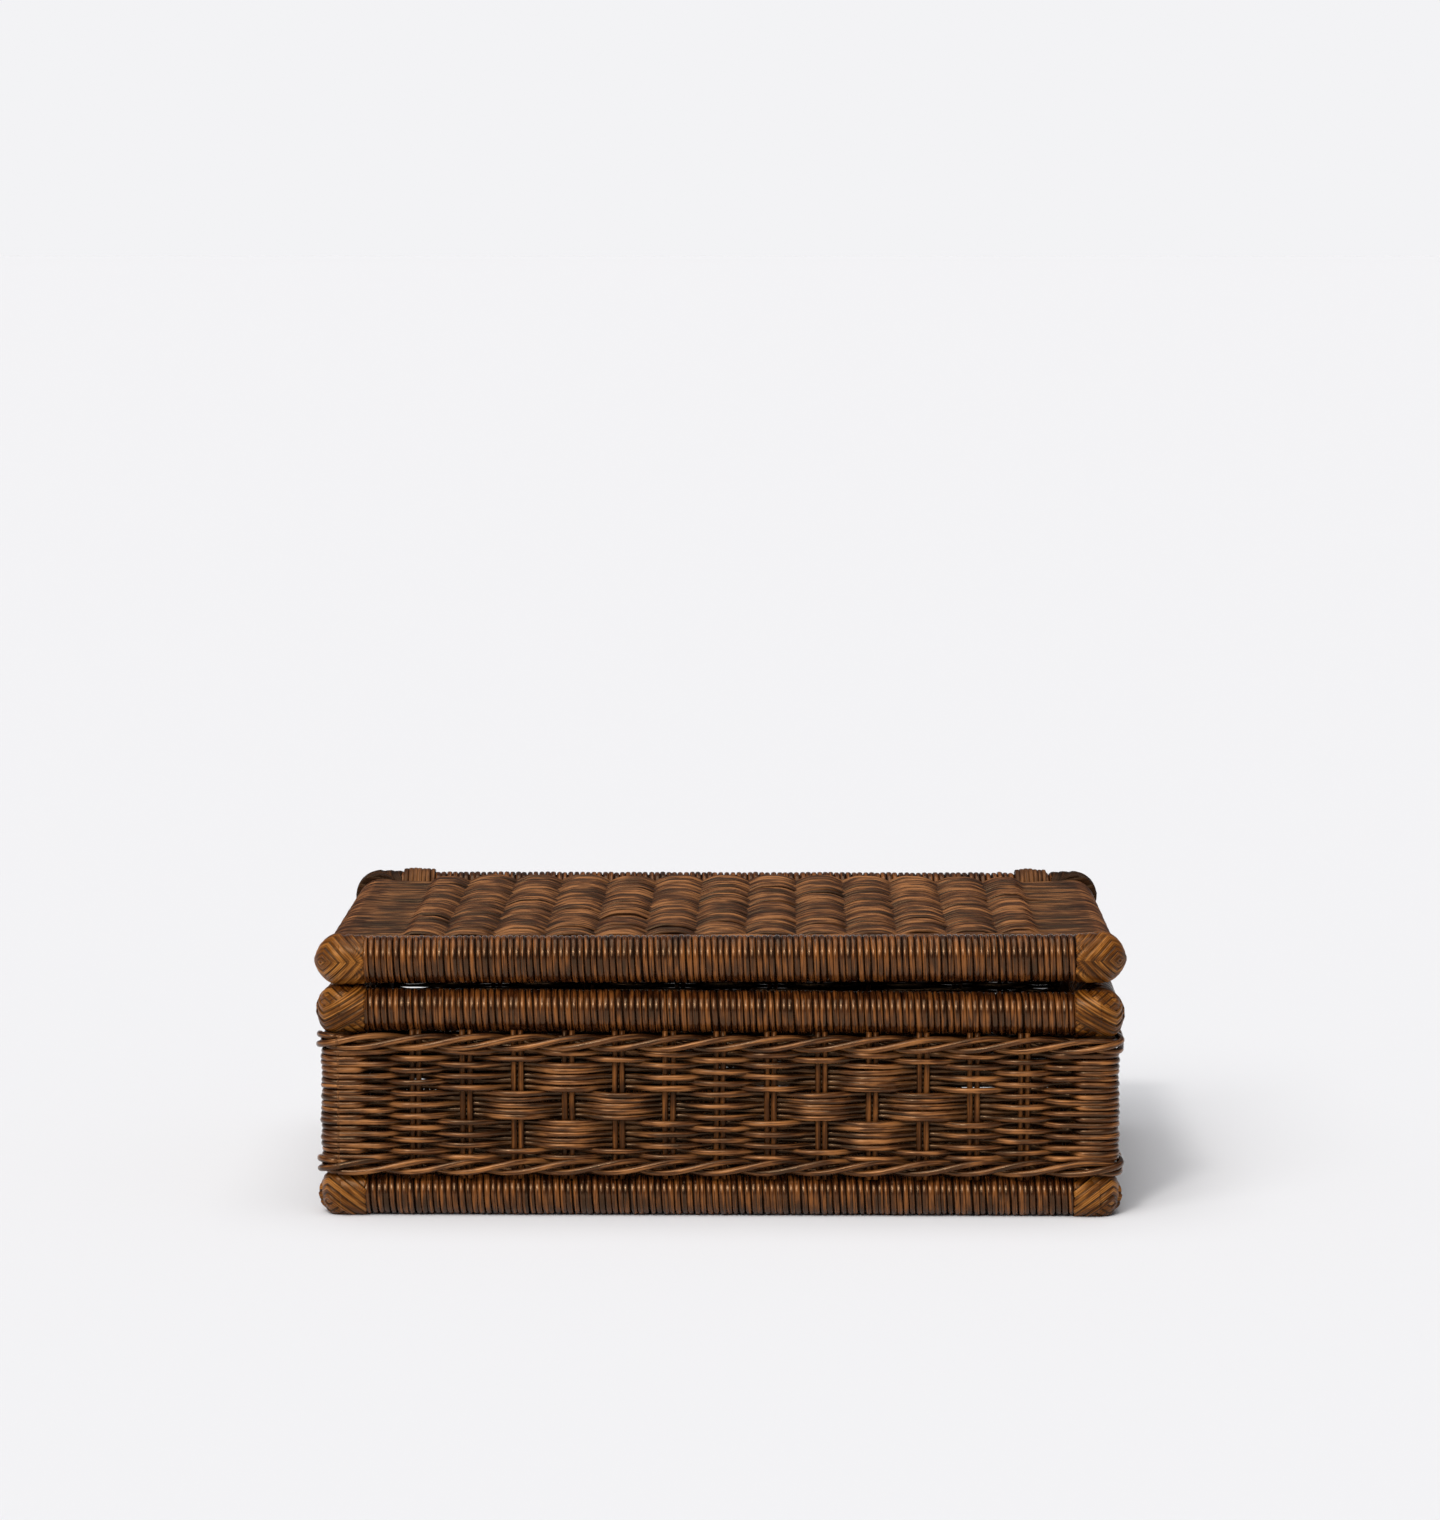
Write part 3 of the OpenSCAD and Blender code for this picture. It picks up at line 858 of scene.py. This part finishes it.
def uneven(x, y, cell_x, cell_y, grid):
    """A smooth random surface over the panel, from a grid of random heights."""
    gx, gy = (x + 0.3) / cell_x, (y + 0.3) / cell_y
    i, j = np.floor(gx).astype(int), np.floor(gy).astype(int)
    s, t = gx - i, gy - j
    s, t = s * s * (3 - 2 * s), t * t * (3 - 2 * t)
    rows, columns = grid.shape
    a, b = grid[i % rows, j % columns], grid[(i + 1) % rows, j % columns]
    c, d = grid[i % rows, (j + 1) % columns], grid[(i + 1) % rows, (j + 1) % columns]
    return (a * (1 - s) + b * s) * (1 - t) + (c * (1 - s) + d * s) * t


def through(x, knots, values, hold):
    """A smooth line that is level near each knot."""
    spots = np.stack([knots - hold, knots + hold], -1).ravel()
    levels = np.repeat(values, 2)
    i = np.clip(np.searchsorted(spots, x, side="right") - 1, 0, len(spots) - 2)
    t = np.clip((x - spots[i]) / (spots[i + 1] - spots[i]), 0, 1)
    return levels[i] + (levels[i + 1] - levels[i]) * (0.5 - 0.5 * np.cos(math.pi * t))


WRAP = 292  # degrees that a lid strand goes round a side rail
PANEL_R = 0.985 * strand_r
LAY = strand_r + rod_r  # from the ribs' level to the middle of a strand over or under them
RIB_HOLD = 3.2 * MM  # a strand is level on a rib for this far either side of it
CELL = (34 * MM, 4.2 * MM)  # of the panels' unevenness
SLOW_CELL = (60 * MM, 17 * MM)
swell_grid = rng.normal(size=(17, 41))
slow_grid = rng.normal(size=(11, 19))
PROUD_EVERY = 6
PROUD_LEVELS = (1.0 * MM, -1.1 * MM, -0.5 * MM, 0, 0, 0)
proud_at = rng.uniform(-0.13, 0.13, size=40)
proud_reach = rng.uniform(0.04, 0.11, size=40)


def spring(j, x):
    """Here and there a strand of the lid stands up over a stretch, and the next ones lie low."""
    k, place = divmod(j, PROUD_EVERY)
    spread = np.clip(1 - np.abs(x - proud_at[k]) / proud_reach[k], 0, 1)
    return PROUD_LEVELS[place] * spread * spread * (3 - 2 * spread)


def rib_levels(j):
    """Where strand j is at each rib: over one and under the next."""
    over = np.array([(i + j) % 2 == 0 for i in range(LONG_PAIRS)])
    return np.where(over, LAY, -LAY)


def lid_strand(weave, j, y, wraps=True):
    """A strand across the lid and, if it wraps, round both side rails."""
    rail_x, rail_z, turn_r = line_x - TUCKED, frame_z["lid"] - SLIM, edge_r - strand_r - SLIM
    ribs = pairs("front")
    heights = rib_levels(j)
    dip = 10.5 * MM  # the first valley is this far out from the first rib
    top = rail_z + turn_r
    edge = np.array([ribs[0] - dip, ribs[-1] + dip])
    knots = np.concatenate([[-rail_x - 3 * MM, edge[0]], ribs, [edge[1], rail_x + 3 * MM]])
    first, last = 0.35 * heights[[0, -1]] - 1.0 * MM
    levels = np.concatenate([[top - rib_z, first], heights, [last, top - rib_z]])
    if not wraps:
        levels = np.full(len(levels), LAY - 1.6 * MM)
    x = np.linspace(-rail_x, rail_x, round(2 * rail_x / (pitch / 12)) + 1)
    hold = np.full(len(knots), RIB_HOLD)
    hold[[1, -2]] = 0.5 * MM
    z = through(x, knots, levels, hold)
    inside = np.clip((rail_x - np.abs(x)) / (30 * MM), 0, 1)
    bumps = 0.42 * MM * uneven(x, y + 0 * x, *CELL, swell_grid)
    bumps = bumps + 0.42 * MM * uneven(x, y + 0 * x, *SLOW_CELL, slow_grid)
    bumps = np.clip(bumps + spring(j, x), -1.7 * MM, 1.2 * MM)
    z = rib_z + z + bumps * inside
    share = np.clip((z - rib_z) / LAY, -1, 1) * 0.5 + 0.5
    path = np.stack([x, y + wander(len(x), 25, 0.18 * MM), z], -1)
    out = np.broadcast_to([0.0, 0.0, 1.0], path.shape)
    if not wraps:
        keep = np.abs(x) < line_x - 12 * MM
        path, out, share = path[keep], out[keep], share[keep]
    else:
        a = np.radians(np.linspace(WRAP, 0, 27))[:-1]
        r = turn_r + wander(len(a), 9, 0.08 * MM)
        left_y = y + wander(len(a), 9, 0.1 * MM)
        left = np.stack([-rail_x - r * np.sin(a), left_y, rail_z + r * np.cos(a)], -1)
        left_out = np.stack([-np.sin(a), 0 * a, np.cos(a)], -1)
        flip = np.array([-1.0, 1.0, 1.0])
        path = np.concatenate([left, path, left[::-1] * flip])
        out = np.concatenate([left_out, out, left_out[::-1] * flip])
        share = np.concatenate([0 * a + 1, share, 0 * a + 1])
    # unshaded follows share: painted shade where the strand dips under a rib
    weave.strand(path, out, round_section(PANEL_R, 8),
                 swell=1 + wander(len(path), 50, 0.05),
                 tone=np.clip(rng.normal(0.5, 0.16) + wander(len(path), 10, 0.2), 0, 1),
                 unshaded=0.3 + 0.7 * share)


LID_STRANDS = 78
LID_GROUPS = 6
LID_NODES = ["lid_panel_weave", "lid_left_edge_strands", "lid_right_edge_strands"]
sleeve_low, sleeve_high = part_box("lid_left_edge_strands")
strand_ys = np.linspace(sleeve_low.y + strand_r, sleeve_high.y - strand_r - 1.6 * MM, LID_STRANDS)
for g, group in enumerate(np.array_split(np.arange(LID_STRANDS), LID_GROUPS)):
    panel = Weave()
    if g == 0:
        lid_strand(panel, -1, sleeve_low.y - 3.4 * MM, wraps=False)
    for j in group:
        lid_strand(panel, j, strand_ys[j])
    panel.make(f"lid_strands_{g + 1}", "lid", lid_cane, LID_NODES if g == 0 else (),
               warp=lift)



def floor_strand(weave, j, y):
    """A strand across the base panel, from rail to rail."""
    half = line_x - bound_r["base"] - 1.0 * MM
    x = np.linspace(-half, half, round(2 * half / (pitch / 10)) + 1)
    knots = np.concatenate([[-line_x], pairs("front"), [line_x]])
    levels = np.concatenate([[0], rib_levels(j), [0]])
    z = base_rib_z + through(x, knots, levels, np.full(len(knots), RIB_HOLD))
    z = z + 0.25 * MM * uneven(x, y + 0 * x, *CELL, swell_grid)
    path = np.stack([x, y + wander(len(x), 25, 0.15 * MM), z], -1)
    out = np.broadcast_to([0.0, 0.0, 1.0], path.shape)
    # unshaded=0.8: painted shade, darkest on the strands' undersides
    weave.strand(path, out, round_section(PANEL_R, 6),
                 tone=np.clip(rng.normal(0.5, 0.16) + wander(len(x), 60, 0.1), 0, 1), unshaded=0.8)


FLOOR_STRANDS = 76
FLOOR_GROUPS = 3
floor_low, floor_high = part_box("base_panel_weave")
floor_edge = strand_r + 1.4 * MM
floor_ys = np.linspace(floor_low.y + floor_edge, floor_high.y - floor_edge, FLOOR_STRANDS)
for g, group in enumerate(np.array_split(np.arange(FLOOR_STRANDS), FLOOR_GROUPS)):
    panel = Weave()
    for j in group:
        floor_strand(panel, j, floor_ys[j])
    panel.make(f"floor_strands_{g + 1}", "basket", wall_cane,
               ["base_panel_weave"] if g == 0 else ())

# ---------------------------------------------------------------- hinge lashings


def belt_line(r_low, r_high, rise, steps=26):
    """A line drawn tight round two circles, the second one rise above the first, with the way
    out at each point."""
    lean = math.asin((r_high - r_low) / rise)
    upper = np.linspace(-lean, math.pi + lean, steps)
    lower = np.linspace(math.pi + lean, TAU - lean, steps)
    points, outs = [], []
    for a, r, z in ((upper, r_high, rise), (lower, r_low, 0.0)):
        outs.append(np.stack([np.cos(a), np.sin(a)], -1))
        points.append(outs[-1] * r + [0.0, z])
    gap = np.linspace(0, 1, 8)[1:-1, None]
    line, line_out = [], []
    for here, there in ((0, 1), (1, 0)):
        join = points[here][-1:] * (1 - gap) + points[there][:1] * gap
        line += [points[here], join]
        line_out += [outs[here], np.broadcast_to(outs[there][:1], join.shape)]
    return np.concatenate(line), np.concatenate(line_out)


LASH_TURNS = 7
LASH_T = 1.3 * MM
LASH_W = 3.2 * MM
rim_z, rise = frame_z["rim"], frame_z["lid"] - frame_z["rim"]
slack = 1.6 * MM - LASH_T / 2  # from the node's outer face to the middle of the cane
for name in ("hinge_lashing_left", "hinge_lashing_right"):
    low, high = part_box(name)
    line, line_out = belt_line(rim_z - low.z - slack, high.z - frame_z["lid"] - slack, rise)
    count = len(line)
    t = np.arange(count * LASH_TURNS) / count
    t = t / t[-1]
    line, line_out = np.tile(line, (LASH_TURNS, 1)), np.tile(line_out, (LASH_TURNS, 1))
    x = (low.x + high.x) / 2 + LASH_W * (LASH_TURNS - 1) * (t - 0.5)
    x = x + wander(len(t), 20, 0.14 * MM)
    hump = 0.7 * MM * np.sin(math.pi * (1 - t) ** 2) + wander(len(t), count, 0.15 * MM)
    line = line + line_out * np.maximum(hump, 0)[:, None]
    path = np.stack([x, line_y + line[:, 0], rim_z + line[:, 1]], -1)
    out = np.stack([0 * t, line_out[:, 0], line_out[:, 1]], -1)
    lash = Weave()
    lash.strand(path, out, cane_section(1.02 * LASH_W, LASH_T),
                swell=1 - 0.25 * t ** 3 + wander(len(t), 30, 0.03),
                tone=np.clip(0.5 + wander(len(t), 40, 0.25), 0, 1))
    lash.make(name + "_cane", "basket", lashing_cane, [name])

# ---------------------------------------------------------------- floor, light and camera

ROOM = 60.0  # metres from the middle of the floor to its edges
floor_corners = [(x * ROOM, y * ROOM, 0) for x, y in ((-1, -1), (1, -1), (1, 1), (-1, 1))]
floor_mesh = bpy.data.meshes.new("floor")
floor_mesh.from_pydata(floor_corners, [], [(0, 1, 2, 3)])
floor = bpy.data.objects.new("floor", floor_mesh)
bpy.context.scene.collection.objects.link(floor)
paper = bpy.data.materials.new("floor_paper")
paper.use_nodes = True
paper_shader = paper.node_tree.nodes["Principled BSDF"]
paper_shader.inputs["Base Color"].default_value = (0.768, 0.802, 0.874, 1)
paper_shader.inputs["Roughness"].default_value = 1.0
paper_shader.inputs["Specular IOR Level"].default_value = 0.0
floor_mesh.materials.append(paper)
floor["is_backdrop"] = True

scene = bpy.context.scene
scene.view_settings.view_transform = "Standard"
world = bpy.data.worlds.new("studio")
scene.world = world
world.use_nodes = True
# A white studio wall all round, up to a little above the horizon, and a darker ceiling.
# The range is of the Z of the way that a ray goes
sky = world.node_tree
way = sky.nodes.new("ShaderNodeTexCoord")
split = sky.nodes.new("ShaderNodeSeparateXYZ")
sky.links.new(way.outputs["Generated"], split.inputs[0])
fade = sky.nodes.new("ShaderNodeMapRange")
fade.interpolation_type = "SMOOTHSTEP"
for key, value in {"From Min": 0.06, "From Max": 0.20, "To Min": 1.0, "To Max": 0.16}.items():
    fade.inputs[key].default_value = value
sky.links.new(split.outputs["Z"], fade.inputs["Value"])
background = sky.nodes["Background"]
background.inputs["Color"].default_value = (0.896, 0.896, 0.913, 1)
sky.links.new(fade.outputs["Result"], background.inputs["Strength"])


def studio_light(name, strength, spread, towards, colour):
    """A distant soft light, spread degrees wide, that shines from the way given."""
    lamp = bpy.data.lights.new(name, "SUN")
    lamp.energy, lamp.angle, lamp.color = strength, math.radians(spread), colour
    light = bpy.data.objects.new(name, lamp)
    scene.collection.objects.link(light)
    light.rotation_mode = "QUATERNION"
    light.rotation_quaternion = (-Vector(towards)).to_track_quat("-Z", "Y")


studio_light("key", 1.7, 42, (-0.36, -0.80, 0.80), (1.0, 0.95, 0.88))
studio_light("spark", 0.9, 8, (-0.30, -0.82, 0.80), (1.0, 0.93, 0.84))
studio_light("fill", 1.45, 60, (-0.05, -0.05, 1.0), (1.0, 0.95, 0.88))

camera_data = bpy.data.cameras.new("camera")
camera_data.sensor_width = 36
camera_data.lens = 125.4
camera_data.clip_end = 200
camera = bpy.data.objects.new("camera", camera_data)
scene.collection.objects.link(camera)
camera.location = (0.040, -3.125, 0.571)
pitch_down, turn_left = math.radians(5.956), math.radians(0.77)
camera.rotation_euler = (math.pi / 2 - pitch_down, 0, turn_left)
scene.camera = camera

low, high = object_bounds()
